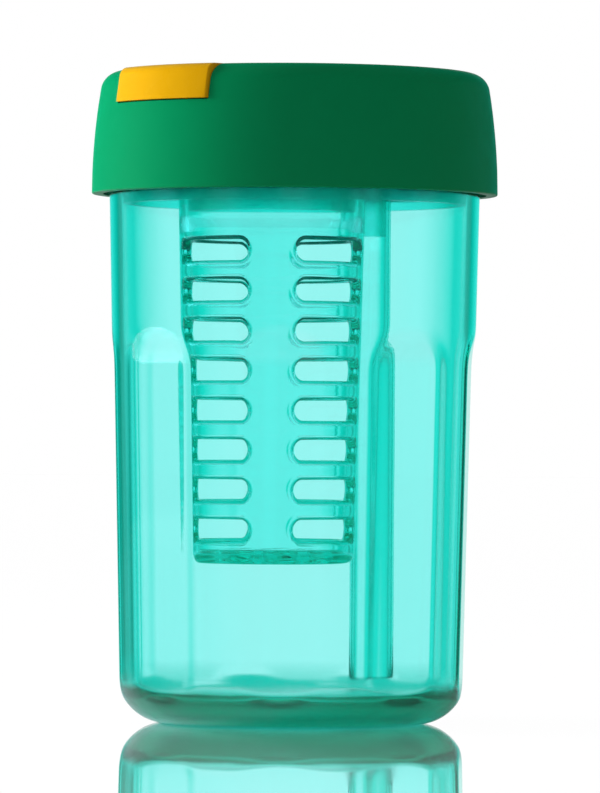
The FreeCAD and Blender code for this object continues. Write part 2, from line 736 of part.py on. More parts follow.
def vent_valve():
    """Rubber mushroom valve in the deck, with its head below and its bulb above."""
    body = new_body("vent_valve")
    revolve(body, "valve_turning", [
        ("0", f"{DECK_UNDER} - vent_head_thickness"),
        ("vent_head_radius", f"{DECK_UNDER} - vent_head_thickness"),
        ("vent_head_radius", DECK_UNDER),
        ("vent_stem_radius", DECK_UNDER),
        ("vent_stem_radius", DECK_TOP),
        ("vent_bulb_radius", DECK_TOP),
        ("vent_stem_radius", f"{DECK_TOP} + vent_bulb_height"),
        ("0", f"{DECK_TOP} + vent_bulb_height"),
    ])
    seat(body, "vent_across", "vent_back")
    return body


def check(nodes):
    """Stop if any object failed to build or any piece isn't one valid solid."""
    for item in doc.Objects:
        if {"Invalid", "Error"} & set(item.State):
            raise RuntimeError(f"{item.Name} failed: {item.State}")
    for node in nodes:
        shape = node.Shape
        if shape.isNull() or not shape.isValid() or len(shape.Solids) != 1:
            raise RuntimeError(f"{node.Label} is not one valid solid")
        print(f"{node.Label}: volume {shape.Volume:.1f}")


def main():
    nodes = [
        bottle_body(), lid_shell(), lid_insert(), lid_gasket(), flip_cover(), cover_hinge_pin(),
        infuser_basket(), basket_seal(), straw(), drink_nozzle(), nozzle_mouthpiece(), nozzle_seal(),
        vent_valve(),
    ]
    doc.recompute()
    check(nodes)
    os.makedirs("parts", exist_ok=True)
    for node in nodes:
        node.Shape.exportStep(f"parts/{node.Label}.step")


main()
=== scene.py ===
import math

import bmesh
import bpy
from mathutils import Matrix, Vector


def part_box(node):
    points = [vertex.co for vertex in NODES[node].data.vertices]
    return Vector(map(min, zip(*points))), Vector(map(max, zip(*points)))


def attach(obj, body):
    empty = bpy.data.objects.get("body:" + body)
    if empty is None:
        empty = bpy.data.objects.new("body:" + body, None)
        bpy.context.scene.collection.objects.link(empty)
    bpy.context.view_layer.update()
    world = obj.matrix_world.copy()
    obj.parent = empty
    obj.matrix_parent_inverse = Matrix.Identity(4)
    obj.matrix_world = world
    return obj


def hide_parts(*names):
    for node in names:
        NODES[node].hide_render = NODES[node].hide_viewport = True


bl_info = {
    "name": "Infuser Bottle",
    "version": (1, 0, 0),
    "blender": (4, 5, 0),
    "location": "3D View > Sidebar > Infuser",
    "description": "Models and finishes a tinted infuser bottle round its fixed frame",
    "category": "Object",
}

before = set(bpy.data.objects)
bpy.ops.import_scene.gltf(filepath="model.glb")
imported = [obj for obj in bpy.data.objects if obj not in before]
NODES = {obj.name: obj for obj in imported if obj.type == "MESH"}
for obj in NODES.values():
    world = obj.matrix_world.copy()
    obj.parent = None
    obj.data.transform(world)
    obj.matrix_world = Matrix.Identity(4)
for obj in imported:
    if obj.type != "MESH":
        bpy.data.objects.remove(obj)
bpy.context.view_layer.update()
MM = 0.001
AXIS = Vector((0, 0, 1))
# Points nearer to each other than this are one point
MERGE = 0.002 * MM
# Edges that turn by more than this stay crisp when a piece is shaded smooth
CRISP = math.radians(35)


def centre(node):
    """Middle of a node's box."""
    low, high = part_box(node)
    return (low + high) / 2


def half_width(node):
    """Half of a node's extent along X."""
    low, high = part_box(node)
    return (high.x - low.x) / 2


def length_size(name, description, millimetres):
    """A length, given in millimetres and kept in metres."""
    return bpy.props.FloatProperty(
        name=name, description=description, default=millimetres * MM, unit="LENGTH", precision=5)


def angle_size(name, description, degrees):
    """An angle, given in degrees and kept in radians."""
    return bpy.props.FloatProperty(
        name=name, description=description, default=math.radians(degrees), subtype="ANGLE")


def count(name, description, default):
    """A whole number."""
    return bpy.props.IntProperty(name=name, description=description, default=default, subtype="UNSIGNED")


def number(name, description, default):
    """A number without a unit of its own."""
    return bpy.props.FloatProperty(name=name, description=description, default=default)


def share(name, description, default):
    """A number from 0 to 1."""
    return bpy.props.FloatProperty(name=name, description=description, default=default, subtype="FACTOR")


def tint(name, description, colour):
    """A colour."""
    return bpy.props.FloatVectorProperty(
        name=name, description=description, default=colour, size=3, min=0, max=1, subtype="COLOR")


class BottleSizes(bpy.types.PropertyGroup):
    """Sizes of the tumbler that its box doesn't give."""
    foot_radius: length_size("Foot radius", "Radius of the side where it would meet the ground", 42.8)
    foot_round: length_size("Foot round", "Radius of the rounded edge of the foot", 12)
    recess_radius: length_size("Recess radius", "Flat of the hollow under the foot", 24.7)
    recess_depth: length_size("Recess depth", "Height of the hollow under the foot", 1.2)
    recess_slope: length_size("Recess slope", "Width of the sloping edge of that hollow", 3)
    wall: length_size("Wall", "Thickness of the side", 3)
    floor: length_size("Floor", "Height of the inside floor", 7.5)
    floor_round: length_size("Floor round", "Radius between the floor and the side, inside", 3.5)
    shoulder_drop: length_size("Shoulder drop", "Height of the shoulder above the lid's lower edge", 1)
    shoulder_step: length_size("Shoulder step", "Width of the ledge round the neck", 1.2)
    mouth_round: length_size("Mouth round", "Radius of the two edges of the mouth", 0.6)
    panel_count: count("Panels", "Flat panels round the side", 8)
    panel_phase: angle_size("Panel phase", "Angle of the first panel from the X axis", -5.5)
    panel_depth: length_size("Panel depth", "How deep each panel cuts into the side", 1.35)
    panel_top: length_size("Panel top", "Height of the arches", 95.5)
    panel_runout: length_size("Panel runout", "Radius on which a panel's upper end runs out", 24)
    thread_start: length_size("Thread start", "Middle of the thread's lower end above the shoulder", 2.4)
    thread_lead: length_size("Thread lead", "Rise of the thread in one turn", 5)
    thread_turns: number("Thread turns", "Turns of the thread", 1.2)
    thread_depth: length_size("Thread depth", "How far the thread stands out of the neck", 1.1)
    thread_root: length_size("Thread root", "Width of the thread at the neck", 2.4)
    thread_crest: length_size("Thread crest", "Width of the thread at its top", 1.2)
    columns: count("Columns", "Faces round the side", 256)
    rows: count("Rows", "Faces up the side", 100)
    foot_steps: count("Foot steps", "Faces across the rounded edge of the foot", 24)
    floor_steps: count("Floor steps", "Faces across the round between the floor and the side", 20)
    mouth_steps: count("Mouth steps", "Faces across each edge of the mouth", 5)
    runout_steps: count("Runout steps", "Faces along a panel's upper end", 24)
    thread_steps: count("Thread steps", "Faces along the thread", 90)


class BasketSizes(bpy.types.PropertyGroup):
    """Sizes of the infuser basket that its box doesn't give."""
    foot_radius: length_size("Foot radius", "Outer radius at the foot", 20.8)
    wall: length_size("Wall", "Thickness of the wall", 2.4)
    rim_wall: length_size("Rim wall", "Thickness of the wall where the collar fits into it", 1.9)
    floor: length_size("Floor", "Thickness of the floor", 3.5)
    foot_round: length_size("Foot round", "Radius of the outer edge of the foot", 2.8)
    slot_rows: count("Slot rows", "Slots in a column", 8)
    slot_columns: count("Slot columns", "Columns of slots", 4)
    slot_height: length_size("Slot height", "Clear height of one slot", 5.1)
    slot_pitch: length_size("Slot pitch", "Distance between rows of slots", 9.7)
    slot_first: length_size("First slot", "Middle of the lowest slot above the foot", 8.3)
    slot_half_angle: angle_size("Slot half angle", "Half of a slot's angle round the basket", 29.7)
    slot_rim: number("Slot rim", "Height of the ring of faces round a slot, in heights of the slot", 1.6)
    drain_radius: length_size("Drain radius", "Radius of the holes in the floor", 1.5)
    drain_circle: length_size("Drain circle", "Radius of the ring of holes", 9)
    drain_count: count("Drains", "Holes in that ring", 6)
    edge_round: length_size("Edge round", "Softness of the edges of the slots", 1.1)
    edge_steps: count("Edge steps", "Faces across the edges of the slots", 5)
    edge_turn: angle_size("Edge turn", "Edges that turn by more than this are rounded", 50)


class StrawSizes(bpy.types.PropertyGroup):
    """Sizes of the drinking tube that its box doesn't give."""
    wall: length_size("Wall", "Thickness of the tube", 1.2)
    edge_round: length_size("Edge round", "Softness of the ends", 0.4)
    edge_steps: count("Edge steps", "Faces across the edges of the ends", 3)
    edge_turn: angle_size("Edge turn", "Edges that turn by more than this are rounded", 50)
    columns: count("Columns", "Faces round the tube", 64)
    rows: count("Rows", "Faces along the tube", 10)


class CoverSizes(bpy.types.PropertyGroup):
    """Sizes of the flip cover that its box doesn't give."""
    plate: length_size("Plate", "Thickness of the flat part", 3.2)
    lip_depth: length_size("Lip depth", "How far into the lid the finger lip reaches", 3.8)
    lean: length_size("Lean", "How far the top of the lip stands behind its lower edge", 1.39)
    top_round: length_size("Top round", "Radius of the upper edge of the lip", 2.5)
    hinge_drop: length_size("Hinge drop", "Depth of the hinge below the top of the lid", 2.6)
    knuckle_radius: length_size("Knuckle radius", "Radius of the roll round the hinge pin", 2.5)
    eye_radius: length_size("Eye radius", "Radius of the hole for the hinge pin", 1.3)
    edge_round: length_size("Edge round", "Softness of the edges", 0.6)
    edge_steps: count("Edge steps", "Faces across the edges", 4)
    edge_turn: angle_size("Edge turn", "Edges that turn by more than this are rounded", 40)
    flat_turn: angle_size("Flat turn", "Edges that turn by less than this are taken out of flat faces", 0.2)
    columns: count("Columns", "Faces round the disc that the cover is trimmed from", 150)
    top_steps: count("Top steps", "Faces across the upper edge of the lip", 8)
    hinge_columns: count("Hinge columns", "Faces round the roll and the hole", 64)


class Finishes(bpy.types.PropertyGroup):
    """Colours and dullness of the plastics, the seals and the pin."""
    body_tint: tint("Body tint", "Light that the clear plastic lets through", (0.0, 0.975, 0.945))
    body_density: number("Body density", "Strength of the tint per metre", 175)
    foot_haze: share("Foot haze", "Dullness of the clear plastic at the bottle's foot", 0.15)
    lid_colour: tint("Lid", "Satin green of the lid", (0.0, 0.21, 0.07))
    lid_roughness: share("Lid roughness", "Dullness of the lid", 0.42)
    lid_grain: length_size("Lid grain", "Depth of the grain of the lid", 0.012)
    liner_tint: tint("Liner tint", "Light that the parts inside the lid let through", (0.0, 0.985, 0.95))
    liner_density: number("Liner density", "Strength of the liner's tint per metre", 1000)
    cover_colour: tint("Cover", "Orange of the flip cover", (0.65, 0.31, 0.002))
    cover_roughness: share("Cover roughness", "Dullness of the flip cover", 0.3)
    cover_grain: length_size("Cover grain", "Depth of the grain of the flip cover", 0.006)
    silicone_colour: tint("Silicone", "Soft seals and mouthpiece", (0.72, 0.78, 0.74))
    steel_colour: tint("Steel", "Hinge pin", (0.62, 0.63, 0.64))


class StageSizes(bpy.types.PropertyGroup):
    """Camera, floor and light."""
    azimuth: angle_size("Azimuth", "Angle of the camera round the bottle from the tab", 44)
    distance: length_size("Distance", "Camera to the axis of the bottle", 1460)
    height: length_size("Height", "Height of the camera", 70.9)
    aim_height: length_size("Aim height", "Height of the point that the camera looks at", 80.4)
    aim_right: length_size("Aim right", "That point's distance to the right of the axis", 1.6)
    roll: angle_size("Roll", "Lean of the camera", 0.35)
    lens: number("Lens", "Focal length in millimetres", 268.9)
    floor_radius: length_size("Floor radius", "Size of the floor", 9000)
    floor_lift: share("Floor lift", "How much lighter the floor itself looks than its light makes it", 0.45)
    floor_mirror: share("Floor mirror", "Share of a low view that the floor mirrors", 0.97)
    # Near the bottle, the floor glows with painted sea-green light that shows only through clear plastic
    painted_glow_start: length_size("Glow start", "Radius of floor that is sea green through clear plastic", 150)
    painted_glow_end: length_size("Glow end", "Radius at which that green has faded out", 400)
    fill: share("Fill", "Light from all sides", 0.31)
    lamp_aim: length_size("Lamp aim", "Height of the point that the lamps are turned to", 90)
    bounces: count("Bounces", "Times that light may pass or mirror on its way", 32)


# The studio as mirrors and clear plastic show it, by the angle in degrees from the middle of the backdrop:
# a white backdrop with a dark edge, then pale panels with sea-green gaps
WHITE, MINT, PALE = (1, 1, 1), (0.06, 0.8, 0.7), (0.12, 0.74, 0.66)
SEA, DEEP = (0.02, 0.6, 0.5), (0.0, 0.3, 0.23)
BACKDROP = ((0, WHITE), (5, WHITE), (12, MINT), (24, SEA), (30, DEEP), (34, DEEP))
SIDE_PANELS = tuple(
    (middle + step, colour) for middle in (45, 90, 135)
    for step, colour in ((-5, PALE), (5, PALE), (12, SEA), (33, SEA)))
FRONT_PANEL = ((175, PALE), (180, PALE))
SURROUND = BACKDROP + SIDE_PANELS + FRONT_PANEL
# What lies above the panels, by the sine of its height: a dark band and a sea-green ceiling
CEILING = ((DEEP, 0.3, 0.4), (SEA, 0.5, 0.65))
# How edge-on the floor is where it starts to mirror, and where it mirrors most
LOW_VIEW = (0.8, 0.95)
# Lamps: metres to the right, up and towards the camera, width in metres, power in watts and colour
LAMPS = {
    "key": ((-1.2, 0.35, -0.23), 0.5, 30, (0.8, 0.9, 1)),
    "top": ((-0.2, 1.2, 0.3), 0.8, 1.5, WHITE),
}
SIZES = {
    "bottle": BottleSizes, "basket": BasketSizes, "straw": StrawSizes, "cover": CoverSizes,
    "finish": Finishes, "stage": StageSizes,
}


def sizes(name):
    """The scene's own values of one group."""
    return getattr(bpy.context.scene, f"infuser_{name}")


# Modelling helpers
def deselect():
    bpy.ops.object.select_all(action="DESELECT")


def select_mesh():
    """Select all of the edit mesh."""
    bpy.ops.mesh.select_all(action="SELECT")


def activate(piece):
    """Select only this piece."""
    deselect()
    piece.select_set(True)
    bpy.context.view_layer.objects.active = piece


def edit_mesh():
    return bmesh.from_edit_mesh(bpy.context.object.data)


def pick(kind, test):
    """Select only the edit mesh's verts or edges that pass a test of their middle and themselves."""
    bpy.ops.mesh.select_mode(type={"verts": "VERT", "edges": "EDGE"}[kind])
    bpy.ops.mesh.select_all(action="DESELECT")
    mesh = edit_mesh()
    found = False
    for item in getattr(mesh, kind):
        points = [item.co] if kind == "verts" else [vert.co for vert in item.verts]
        middle = sum(points, Vector()) / len(points)
        if test(middle, item):
            item.select = True
            found = True
    mesh.select_flush_mode()
    bmesh.update_edit_mesh(bpy.context.object.data)
    if not found:
        raise RuntimeError(f"no {kind} were found on {bpy.context.object.name}")


def spot(radius, height, turn=0.0):
    """A point at a radius from the axis, a height and an angle from the X axis."""
    return Vector((radius * math.cos(turn), radius * math.sin(turn), height))


def radius_of(point):
    """A point's distance from the upright axis."""
    return math.hypot(point.x, point.y)


def move(step):
    bpy.ops.transform.translate(value=step)


def scale(factors, middle=(0, 0, 0)):
    bpy.ops.transform.resize(value=factors, center_override=middle)


def turn_round(axis, angle):
    """Turn what is selected round one of the scene's axes."""
    bpy.ops.transform.rotate(value=angle, orient_axis=axis, center_override=(0, 0, 0))


def extrude(step=(0, 0, 0)):
    """Extrude the selected edges or faces and move the copy."""
    bpy.ops.mesh.extrude_region_move(TRANSFORM_OT_translate={"value": step})


def start_line(name, points):
    """A new piece in edit mode: one line through the points, extruded from a single vertex."""
    deselect()
    bpy.ops.mesh.primitive_plane_add(size=MM, enter_editmode=True)
    bpy.context.object.name = name
    bpy.ops.mesh.select_mode(type="VERT")
    bpy.ops.mesh.merge(type="CENTER")
    move(points[0])
    for start, end in zip(points, points[1:]):
        bpy.ops.mesh.extrude_vertices_move(TRANSFORM_OT_translate={"value": end - start})
    return bpy.context.object


def start_ring(name, columns, radius):
    """A new piece in edit mode: one flat ring of edges round the upright axis, selected."""
    deselect()
    bpy.ops.mesh.primitive_circle_add(vertices=columns, radius=radius, enter_editmode=True)
    bpy.context.object.name = name
    select_mesh()
    return bpy.context.object


def fillet_reach(before, corner, after, radius):
    """Length that a fillet of a radius takes from each side of a corner."""
    turn = (corner - before).angle(after - corner)
    return radius * math.tan(turn / 2)


def round_corner(corner, reach, steps):
    """Round the corner of a line; reach is the length taken from each side."""
    pick("verts", lambda middle, _: (middle - corner).length < MERGE)
    bpy.ops.mesh.bevel(offset=reach, segments=steps, affect="VERTICES")


def divide_edges(test, parts):
    """Divide the edges that pass a test into equal parts."""
    pick("edges", test)
    bpy.ops.mesh.subdivide(number_cuts=parts - 1)


def spin_round(steps):
    """Turn the whole line round the upright axis and close the seam and the poles."""
    select_mesh()
    bpy.ops.mesh.spin(steps=steps, angle=math.tau, center=(0, 0, 0), axis=AXIS, use_auto_merge=True)
    merge_all()


def merge_all():
    """Merge points that meet and turn all faces outwards."""
    select_mesh()
    bpy.ops.mesh.remove_doubles(threshold=MERGE)
    bpy.ops.mesh.normals_make_consistent(inside=False)


def leave_edit():
    bpy.ops.object.mode_set(mode="OBJECT")


def enter_edit(piece):
    activate(piece)
    bpy.ops.object.mode_set(mode="EDIT")


def shift(piece, step):
    """Move all of a piece's mesh."""
    enter_edit(piece)
    select_mesh()
    move(step)
    leave_edit()


def apply_modifier(piece, name, kind, **settings):
    """Add a modifier with its settings and apply it."""
    activate(piece)
    modifier = piece.modifiers.new(name, kind)
    for key, value in settings.items():
        setattr(modifier, key, value)
    bpy.ops.object.modifier_apply(modifier=modifier.name)


def remove(piece):
    activate(piece)
    bpy.ops.object.delete()


def coat(mesh, material):
    """Give a mesh one material."""
    mesh.materials.clear()
    mesh.materials.append(material)


def finish_piece(piece, material, body, node):
    """Shade a piece, give it its material and hand it to the frame in place of a node."""
    activate(piece)
    bpy.ops.object.shade_smooth_by_angle(angle=CRISP)
    coat(piece.data, material)
    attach(piece, body)
    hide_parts(node)


def dress(node, material):
    """Give a fixed node a material."""
    coat(NODES[node].data, material)


# Materials
class Nodes:
    """A node tree under construction, with short ways to add and join its nodes."""

    def __init__(self, tree):
        self.nodes = tree.nodes
        self.links = tree.links

    def find(self, kind):
        return next(node for node in self.nodes if node.type == kind)

    def put(self, socket, value):
        """Join a socket to another one, or give it a value of its own."""
        if isinstance(value, bpy.types.NodeSocket):
            self.links.new(value, socket)
        else:
            socket.default_value = value

    def feed(self, node, inputs):
        """Fill in a node's inputs by their names, with underscores for spaces."""
        for name, value in inputs.items():
            self.put(node.inputs[name.replace("_", " ")], value)

    def add(self, kind, **inputs):
        node = self.nodes.new(kind)
        self.feed(node, inputs)
        return node

    def operate(self, kind, operation, *values):
        """The number that a Math or Vector Math node makes of its inputs, in their order."""
        node = self.nodes.new(kind)
        node.operation = operation
        for socket, value in zip(node.inputs, values):
            self.put(socket, value)
        return node.outputs["Value"]

    def calculate(self, operation, *values):
        return self.operate("ShaderNodeMath", operation, *values)

    def spread(self, value, start, end, low=0, high=1):
        """A number that goes from low to high while a value goes from start to end."""
        return self.add("ShaderNodeMapRange", Value=value, From_Min=start, From_Max=end, To_Min=low,
                        To_Max=high).outputs["Result"]

    def blend(self, factor, *colours):
        """Two colours mixed by a factor."""
        node = self.nodes.new("ShaderNodeMix")
        node.data_type = "RGBA"
        self.put(node.inputs[0], factor)
        sockets = [socket for socket in node.inputs if socket.type == "RGBA"]
        for socket, colour in zip(sockets, colours):
            self.put(socket, colour if isinstance(colour, bpy.types.NodeSocket) else (*colour, 1))
        return next(socket for socket in node.outputs if socket.type == "RGBA")


class Shader(Nodes):
    """A material under construction."""
    # Range that most of a noise lies in
    MIDDLE = (0.3, 0.7)

    def __init__(self, name):
        self.material = bpy.data.materials.new(name)
        self.material.use_nodes = True
        super().__init__(self.material.node_tree)
        self.surface = self.find("BSDF_PRINCIPLED")
        self.output = self.find("OUTPUT_MATERIAL")
        self.place = self.add("ShaderNodeTexCoord").outputs["Object"]

    def set(self, **inputs):
        """Fill in the surface's inputs."""
        self.feed(self.surface, inputs)

    def absorb(self, colour, density):
        """Fill the inside with a tint that deepens with thickness."""
        volume = self.add("ShaderNodeVolumeAbsorption", Color=(*colour, 1), Density=density)
        self.put(self.output.inputs["Volume"], volume.outputs["Volume"])

    def noise(self, waves, detail, stretch=(1, 1, 1)):
        """Cloudy pattern from 0 to 1 with a number of waves per metre along each axis."""
        mapping = self.add("ShaderNodeMapping", Vector=self.place, Scale=stretch)
        return self.add("ShaderNodeTexNoise", Vector=mapping.outputs["Vector"], Scale=waves,
                        Detail=detail).outputs["Fac"]

    def between(self, pattern, low, high):
        """The pattern's middle range spread from one number to another."""
        return self.spread(pattern, *self.MIDDLE, low, high)

    def mix(self, factor, *shaders):
        """Two shaders mixed by a factor."""
        node = self.add("ShaderNodeMixShader", Fac=factor)
        for socket, source in zip(node.inputs[1:], shaders):
            self.put(socket, source)
        return node.outputs["Shader"]

    def bump(self, pattern, depth):
        """Surface relief of a depth in metres."""
        return self.add("ShaderNodeBump", Height=pattern, Distance=depth, Strength=1.0).outputs["Normal"]


def shade(colour, factor):
    """A colour made lighter or darker."""
    return tuple(min(1, channel * factor) for channel in colour)


def clear_plastic(name, dull_foot=None):
    """Polished clear plastic with a tint that deepens with thickness, faint flow waves and haze.

    A dull foot is the heights between which its haze fades out.
    """
    colours = sizes("finish")
    shader = Shader(name)
    waves = shader.noise(60, 2, (1, 1, 0.25))
    roughness = shader.between(shader.noise(900, 4), 0.0, 0.05)
    if dull_foot:
        height = shader.add("ShaderNodeSeparateXYZ", Vector=shader.place).outputs["Z"]
        haze = shader.spread(height, *dull_foot, colours.foot_haze, 0)
        roughness = shader.calculate("ADD", haze, roughness)
    shader.set(Base_Color=(*WHITE, 1), Transmission_Weight=1, IOR=1.5, Roughness=roughness,
               Normal=shader.bump(waves, 0.03 * MM))
    shader.absorb(colours.body_tint, colours.body_density)
    return shader.material


def frosted_plastic(name, tint_colour, density):
    """Translucent plastic with a dull moulded face."""
    shader = Shader(name)
    shader.set(Base_Color=(*WHITE, 1), Transmission_Weight=1, IOR=1.45,
               Roughness=shader.between(shader.noise(300, 4), 0.15, 0.25),
               Normal=shader.bump(shader.noise(2200, 2), 0.01 * MM))
    shader.absorb(tint_colour, density)
    return shader.material


def satin_plastic(name, colour, roughness, grain):
    """Moulded opaque plastic with a grain of a depth in metres and slight unevenness of colour and gloss."""
    shader = Shader(name)
    uneven = 0.05
    shader.set(Base_Color=shader.blend(shader.noise(35, 3), shade(colour, 0.93), shade(colour, 1.07)),
               Specular_IOR_Level=0.06,
               Roughness=shader.between(shader.noise(140, 4), roughness - uneven, roughness + uneven),
               Normal=shader.bump(shader.noise(2600, 2), grain))
    return shader.material


def soft_silicone(name, colour):
    """Milky rubber with a dry, slightly dusty surface."""
    shader = Shader(name)
    shader.set(Base_Color=shader.blend(shader.noise(220, 3), shade(colour, 0.94), shade(colour, 1.04)),
               Roughness=shader.between(shader.noise(900, 3), 0.45, 0.62), Subsurface_Weight=0.25,
               Subsurface_Scale=2 * MM, Normal=shader.bump(shader.noise(1800, 2), 0.01 * MM))
    return shader.material


def drawn_steel(name, colour):
    """Steel rod with fine lines along its length."""
    shader = Shader(name)
    lines = shader.noise(4000, 2, (0.02, 1, 1))
    shader.set(Base_Color=shader.blend(lines, shade(colour, 0.9), shade(colour, 1.08)), Metallic=1,
               Roughness=shader.between(lines, 0.2, 0.38), Normal=shader.bump(lines, 0.004 * MM))
    return shader.material


# Pieces
class INFUSER_OT_bottle(bpy.types.Operator):
    """Model the tumbler: a turned form with soft arched panels"""
    bl_idname = "infuser.bottle"
    bl_label = "Bottle"

    def execute(self, context):
        size = sizes("bottle")
        radius = half_width("bottle_body")
        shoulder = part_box("lid_shell")[0].z + size.shoulder_drop
        bottle = self.turn_form(size, radius, shoulder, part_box("bottle_body")[1].z)
        press_limit = 3 * size.panel_depth
        for group, inset in (("outside", 0), ("inside", size.wall)):
            panels = self.panel_sheets(size, radius - inset, size.foot_radius - inset, shoulder)
            apply_modifier(bottle, "panels", "SHRINKWRAP", target=panels, wrap_method="PROJECT",
                           use_negative_direction=not inset, use_positive_direction=bool(inset),
                           project_limit=press_limit, vertex_group=group)
            remove(panels)
            self.soften(bottle, group)
        self.add_thread(bottle, size, radius - size.shoulder_step, shoulder)
        haze_end = size.floor + 2 * size.floor_round
        plastic = clear_plastic("tinted_clear", (size.floor, haze_end))
        finish_piece(bottle, plastic, "bottle", "bottle_body")
        return {"FINISHED"}

    def turn_form(self, size, radius, shoulder, mouth):
        """Draw half of the section, round its corners and turn it."""
        def side(height):
            return size.foot_radius + (radius - size.foot_radius) * height / shoulder

        neck = radius - size.shoulder_step
        bore = radius - size.wall
        corners = [spot(*place, size.panel_phase) for place in (
            (0, size.recess_depth), (size.recess_radius, size.recess_depth),
            (size.recess_radius + size.recess_slope, 0), (size.foot_radius, 0),
            (radius, shoulder), (neck, shoulder), (neck, mouth), (bore, mouth), (bore, shoulder),
            (side(size.floor) - size.wall, size.floor), (0, size.floor),
        )]
        foot, mouth_edges, floor = 3, (6, 7), 9
        bottle = start_line("bottle", corners)
        for corner, fillet, steps in (
            (foot, size.foot_round, size.foot_steps), (floor, size.floor_round, size.floor_steps),
        ):
            round_corner(corners[corner], fillet_reach(*corners[corner - 1:corner + 2], fillet), steps)
        for corner in mouth_edges:
            round_corner(corners[corner], size.mouth_round, size.mouth_steps)
        divide_edges(lambda _, edge: edge.calc_length() > shoulder / 2, size.rows)
        spin_round(size.columns)
        land = size.recess_radius + size.recess_slope + size.wall
        for group, inner in (("outside", False), ("inside", True)):
            pick("verts", lambda middle, _: middle.z < shoulder - size.wall and radius_of(middle) > land
                 and inner == self.is_inside(middle, size, side))
            bpy.ops.object.vertex_group_assign_new()
            bottle.vertex_groups[-1].name = group
        leave_edit()
        return bottle

    def is_inside(self, middle, size, side):
        """True on the inner face of the side."""
        return middle.z > size.floor - MERGE and radius_of(middle) < side(middle.z) - size.wall + MERGE

    def panel_sheets(self, size, radius, foot_radius, shoulder):
        """Flat sheets whose upper ends curve outwards, which the side is pressed onto."""
        lean = (radius - foot_radius) / shoulder
        depth, runout = size.panel_depth, size.panel_runout
        flat_end = size.panel_top - math.sqrt(depth * (2 * runout - depth))
        turn = size.panel_phase
        low = spot(foot_radius - depth - lean * size.foot_round, -size.foot_round, turn)
        high = spot(foot_radius - depth + lean * flat_end, flat_end, turn)
        panels = start_line("panels", [low, high])
        along = (high - low).normalized()
        across = AXIS.cross(spot(1, 0, turn))
        outward = across.cross(along)
        pick("verts", lambda middle, _: (middle - high).length < MERGE)
        # The curve goes on well past the side
        overrun = 2.2
        sweep = overrun * math.acos(1 - depth / runout)
        bpy.ops.mesh.spin(steps=size.runout_steps, angle=sweep, center=high + outward * runout, axis=-across)
        reach = foot_radius / 2
        select_mesh()
        move(-across * reach)
        extrude(across * 2 * reach)
        select_mesh()
        pitch = math.tau / size.panel_count
        bpy.ops.mesh.spin(steps=size.panel_count - 1, dupli=True, angle=math.tau - pitch,
                          center=(0, 0, 0), axis=AXIS)
        leave_edit()
        return panels

    def add_thread(self, bottle, size, neck, shoulder):
        """Wind a ridge that fades out at both ends round the neck, and join it to the wall."""
        low, bite = shoulder + size.thread_start, size.thread_depth / 4
        root, crest = size.thread_root / 2, size.thread_crest / 2
        section = [spot(*place) for place in (
            (neck - bite, low - root), (neck + size.thread_depth, low - crest),
            (neck + size.thread_depth, low + crest), (neck - bite, low + root),
        )]
        ridge = start_line("ridge", section + section[:1])
        merge_all()
        leave_edit()
        apply_modifier(ridge, "climb", "SCREW", angle=math.tau * size.thread_turns, steps=size.thread_steps,
                       render_steps=size.thread_steps, screw_offset=size.thread_lead * size.thread_turns)
        enter_edit(ridge)
        pick("verts", lambda _, vert: vert.is_boundary)
        fade = (neck + bite) / (neck + size.thread_depth)
        scale((fade, fade, 1))
        select_mesh()
        bpy.ops.mesh.fill_holes(sides=len(section))
        merge_all()
        leave_edit()
        apply_modifier(bottle, "thread", "BOOLEAN", operation="UNION", object=ridge, solver="MANIFOLD")
        remove(ridge)

    def soften(self, bottle, group):
        """Ease the edges of the panels."""
        enter_edit(bottle)
        index = bottle.vertex_groups[group].index
        weights = edit_mesh().verts.layers.deform.verify()
        pick("verts", lambda _, vert: index in vert[weights])
        bpy.ops.mesh.vertices_smooth(factor=0.5, repeat=5)
        leave_edit()


